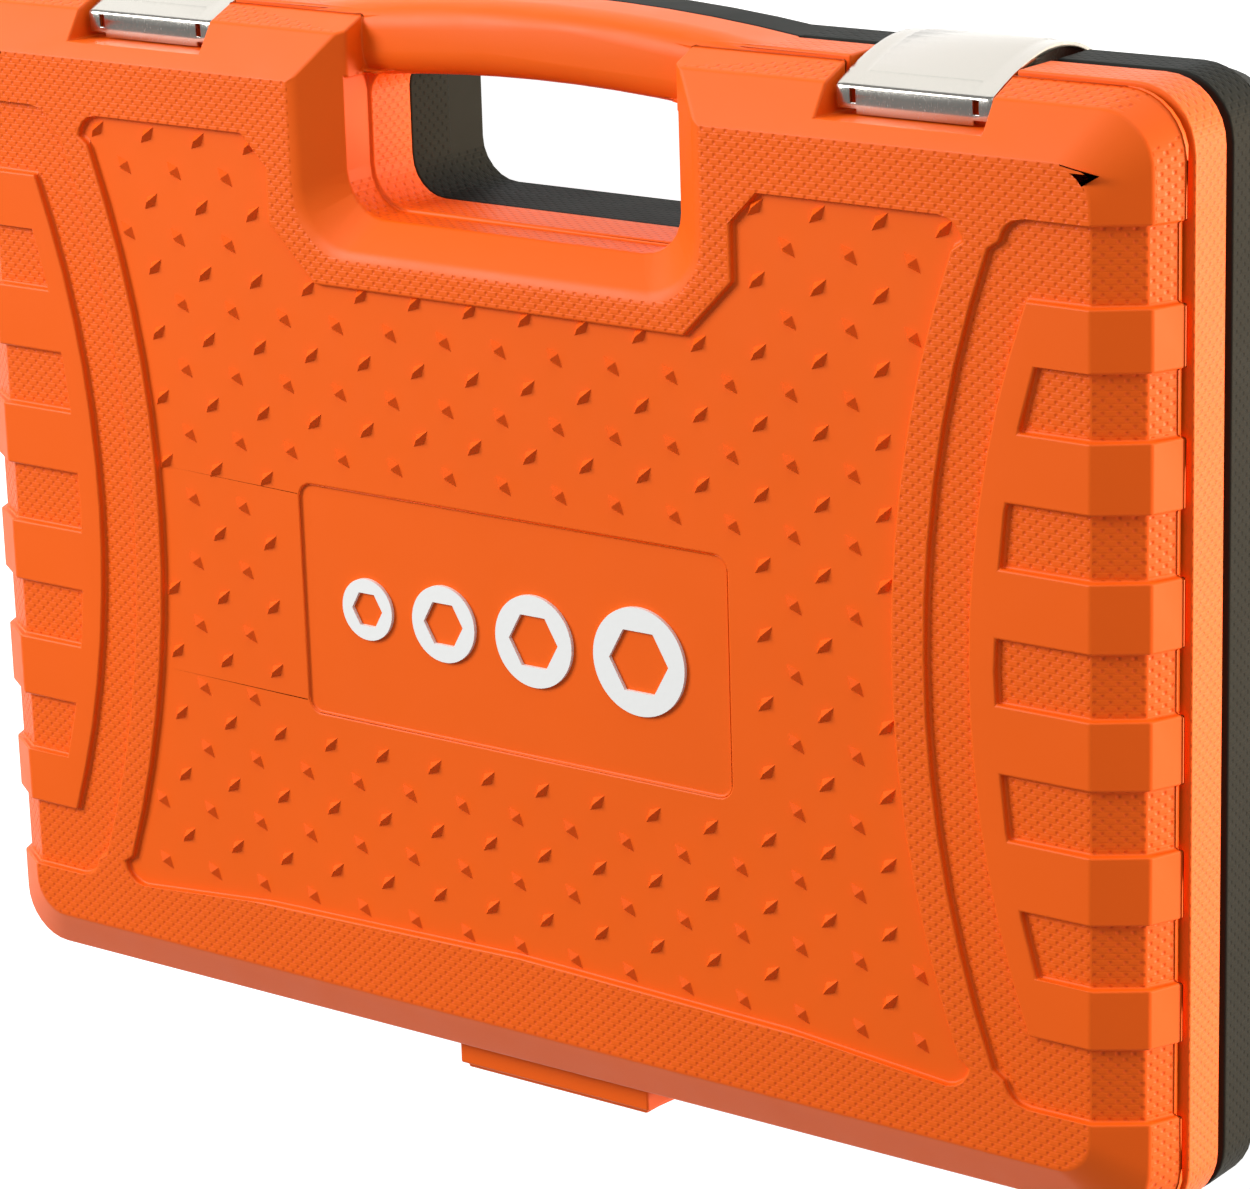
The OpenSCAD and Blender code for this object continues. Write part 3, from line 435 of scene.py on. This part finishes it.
def bright_metal(name, colour, roughness, brush, direction=(1, 1, 1), depth=0.0006):
    """Plated steel: mirror-like, with fine polishing lines and a soft unevenness."""
    mat, shader = finish_of(name, colour, roughness, metallic=1.0)
    spot = add(mat, "ShaderNodeTexCoord")
    turned = add(mat, "ShaderNodeMapping", {"Vector": spot.outputs["Object"], "Scale": direction})
    lines = add(mat, "ShaderNodeTexNoise", {"Vector": turned.outputs[0], "Scale": brush,
                                            "Detail": 3.0, "Roughness": 0.6})
    soft = add(mat, "ShaderNodeTexNoise", {"Vector": spot.outputs["Object"], "Scale": 60.0,
                                           "Detail": 2.0})
    dull = add(mat, "ShaderNodeMapRange", {"Value": lines.outputs[0], "From Min": 0.3,
                                           "From Max": 0.7, "To Min": roughness - 0.05,
                                           "To Max": roughness + 0.08})
    mat.node_tree.links.new(dull.outputs[0], shader.inputs["Roughness"])
    both = add(mat, "ShaderNodeMath", {0: soft.outputs[0], 1: 4.0, 2: lines.outputs[0]},
               operation="MULTIPLY_ADD")
    bump = add(mat, "ShaderNodeBump", {"Height": both.outputs[0], "Strength": 0.25,
                                       "Distance": depth * 0.05})
    mat.node_tree.links.new(bump.outputs[0], shader.inputs["Normal"])
    return mat


nickel = bright_metal("steel_nickel_plated", "#C4C0B8", 0.2, 900.0, (6, 1, 1))


def latch_profile():
    """Y and Z of the strip's outside, from the end of the curl to the end of the lip, in mm."""
    pin_y, pin_z, curl = -133.0, 12.0, 2.75
    line = [(pin_y + curl * math.cos(math.radians(a)), pin_z + curl * math.sin(math.radians(a)))
            for a in range(75, -181, -15)]
    a, b, c = (-135.65, 12.0), (-154.5, 30.0), (-137.3, 64.0)
    for i in range(1, 17):
        t = i / 16
        line.append(tuple((1 - t) ** 2 * a[k] + 2 * t * (1 - t) * b[k] + t * t * c[k]
                          for k in (0, 1)))
    line += [(-136.7, 64.7), (-136.1, 64.9), (-134.4, 64.9), (-132.6, 64.8), (-131.2, 64.7),
             (-129.9, 64.5)]
    return line


def latch_strip(name, x, body):
    """The strip extruded edge by edge along its profile, cut, embossed and thickened."""
    line = latch_profile()
    pick()
    bpy.ops.mesh.primitive_plane_add(size=1, location=(0, 0, 0))
    strip = bpy.context.active_object
    strip.name = name
    (y0, z0), (y1, z1) = line[0], line[1]
    for v in strip.data.vertices:
        start = v.co.y < 0
        v.co = (v.co.x * latch_w, (y0 if start else y1) / 1000, (z0 if start else z1) / 1000)
    for (ya, za), (yb, zb) in zip(line[1:], line[2:]):
        bpy.ops.object.mode_set(mode="OBJECT")
        for e in strip.data.edges:
            e.select = False
        for v in strip.data.vertices:
            v.select = abs(v.co.y - ya / 1000) < 1e-6 and abs(v.co.z - za / 1000) < 1e-6
        bpy.ops.object.mode_set(mode="EDIT")
        bpy.ops.mesh.select_mode(type="VERT")
        bpy.ops.mesh.extrude_edges_move(TRANSFORM_OT_translate={
            "value": (0, (yb - ya) / 1000, (zb - za) / 1000)})
        bpy.ops.object.mode_set(mode="OBJECT")
    bpy.ops.object.mode_set(mode="EDIT")
    for cut in (-0.0203, -0.0182, -0.0165, 0.0165, 0.0182, 0.0203):
        bpy.ops.mesh.select_all(action="SELECT")
        bpy.ops.mesh.bisect(plane_co=(cut, 0, 0), plane_no=(1, 0, 0))
    bpy.ops.mesh.select_all(action="SELECT")
    bpy.ops.mesh.normals_make_consistent(inside=False)
    bpy.ops.object.mode_set(mode="OBJECT")
    middle = max(strip.data.polygons, key=lambda p: -p.center.y)
    if middle.normal.y > 0:
        bpy.ops.object.mode_set(mode="EDIT")
        bpy.ops.mesh.select_all(action="SELECT")
        bpy.ops.mesh.flip_normals()
        bpy.ops.object.mode_set(mode="OBJECT")

    def chosen(test):
        """Leaves the strip in edit mode with just the faces that pass the test selected."""
        bpy.ops.object.mode_set(mode="EDIT")
        bpy.ops.mesh.select_mode(type="FACE")
        bpy.ops.mesh.select_all(action="DESELECT")
        bpy.ops.object.mode_set(mode="OBJECT")
        for f in strip.data.polygons:
            f.select = test(abs(f.center.x) * 1000, f.center.y * 1000, f.center.z * 1000)
        bpy.ops.object.mode_set(mode="EDIT")

    # notches beside the lip leave an ear at each end
    chosen(lambda cx, cy, cz: cz > 64.3 and cy > -136.2 and (
        (16.5 < cx < 18.2 and not -132.6 < cy < -131.2) or (cx > 16.5 and cy > -131.2)))
    bpy.ops.mesh.delete(type="FACE")
    bpy.ops.object.mode_set(mode="OBJECT")
    # raised field of the plate
    chosen(lambda cx, cy, cz: cx < 16.5 and 26 < cz < 61.5 and cy < -136)
    bpy.ops.mesh.inset(thickness=0.0006, depth=0.0003, use_even_offset=True)
    bpy.ops.object.mode_set(mode="OBJECT")
    wall = strip.modifiers.new("sheet", "SOLIDIFY")
    wall.thickness = 0.0012
    wall.offset = -1
    bpy.ops.object.modifier_apply(modifier=wall.name)
    soft = strip.modifiers.new("tumbled_edges", "BEVEL")
    soft.width = 0.0003
    soft.segments = 2
    soft.limit_method = "ANGLE"
    soft.angle_limit = math.radians(32)
    bpy.ops.object.modifier_apply(modifier=soft.name)
    bpy.ops.object.shade_smooth_by_angle(angle=math.radians(40))
    strip.data.transform(Matrix.Translation((x / 1000, 0, 0)))
    strip.data.materials.append(nickel)
    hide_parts(body)
    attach(strip, body)


latch_x = 122
latch_strip("latch_strip_left", latch_x, "latch_left")
latch_strip("latch_strip_right", -latch_x, "latch_right")


# ---------------------------------------------------------------- tools and small parts
# The drop-forged chrome-vanadium tools are satin chrome plated; pins, balls and screws are
# hardened steel, and the ratchet's grip and the plug inserts are moulded rubber.
chrome = bright_metal("chrome_vanadium_satin", "#D6D5D2", 0.22, 500.0, (1, 1, 1))
hard = bright_metal("steel_hardened_ground", "#8E8B86", 0.3, 700.0, (1, 1, 1))


def matt_compound(name, colour, roughness, pitch, depth):
    """Moulded rubber or cap plastic: matt, with the mould's fine grain."""
    mat, shader = finish_of(name, colour, roughness, ior=1.52)
    spot = add(mat, "ShaderNodeTexCoord")
    grain = add(mat, "ShaderNodeTexVoronoi", {"Vector": spot.outputs["Object"],
                                              "Scale": 1000 / pitch}, distance="EUCLIDEAN")
    bump = add(mat, "ShaderNodeBump", {"Height": grain.outputs[0], "Strength": 0.5,
                                       "Distance": depth / 1000})
    mat.node_tree.links.new(bump.outputs[0], shader.inputs["Normal"])
    shade = add(mat, "ShaderNodeMapRange", {"Value": grain.outputs[0], "To Min": roughness + 0.1,
                                            "To Max": roughness - 0.05})
    mat.node_tree.links.new(shade.outputs[0], shader.inputs["Roughness"])
    return mat


rubber = matt_compound("rubber_black_moulded", "#1B1B1A", 0.65, 1.4, 0.12)
insert = matt_compound("rubber_insert_soft", "#141414", 0.75, 2.0, 0.06)
cap_orange = matt_compound("polypropylene_cap_orange", "#E8501C", 0.4, 1.2, 0.04)
white_print = matt_compound("ink_white_printed", "#F2F2F0", 0.45, 1.6, 0.03)
finishes = {"plated_steel": nickel, "chrome_vanadium": chrome, "hardened_steel": hard,
            "insert_rubber": insert, "grip_rubber": rubber, "cap_plastic": cap_orange,
            "white_ink": white_print, "orange_plastic": orange, "dark_plastic": charcoal}
for part in frame["record"]["subparts"]:
    shown = frame["nodes"][part["node"]]
    shown.data.materials.clear()
    shown.data.materials.append(finishes[part["material_slot"]])
